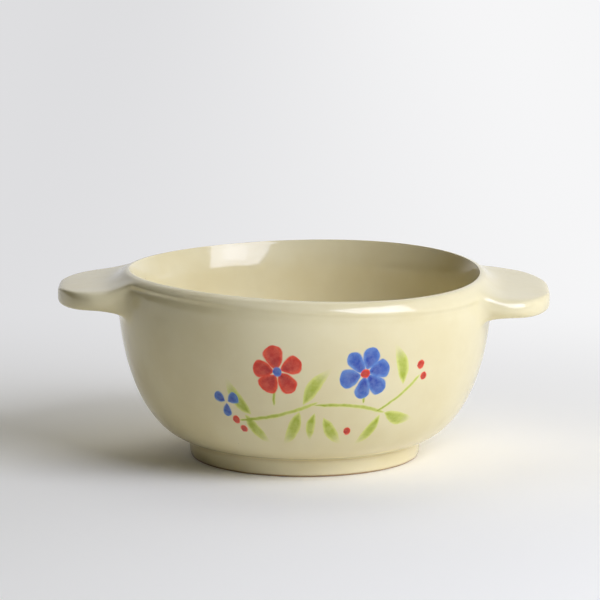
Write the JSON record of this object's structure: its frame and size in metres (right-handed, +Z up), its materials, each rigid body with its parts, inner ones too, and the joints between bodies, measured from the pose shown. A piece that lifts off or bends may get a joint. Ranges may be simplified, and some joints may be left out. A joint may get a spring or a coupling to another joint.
{
  "type": "onion soup bowl",
  "caption": "Round glazed stoneware soup bowl with a rolled lip, a foot ring and a flat lug handle on each side, for serving hot soup.",
  "frame": {"origin": "centre of the foot ring's underside, on the table", "axes": "+Z up along the bowl's axis, +X through the right lug handle, -Y towards the painted front"},
  "size_m": [0.181, 0.138, 0.069],
  "materials": {
    "cream_glaze": "glossy cream glaze with a painted sprig of flowers on the front",
    "foot_glaze": "glossy cream glaze, wiped off the bottom edge to bare buff clay"
  },
  "bodies": {
    "root": {"bowl_body": "cream_glaze", "rim_roll": "cream_glaze", "foot_ring": "foot_glaze", "left_lug_handle": "cream_glaze", "right_lug_handle": "cream_glaze"}
  },
  "joints": []
}
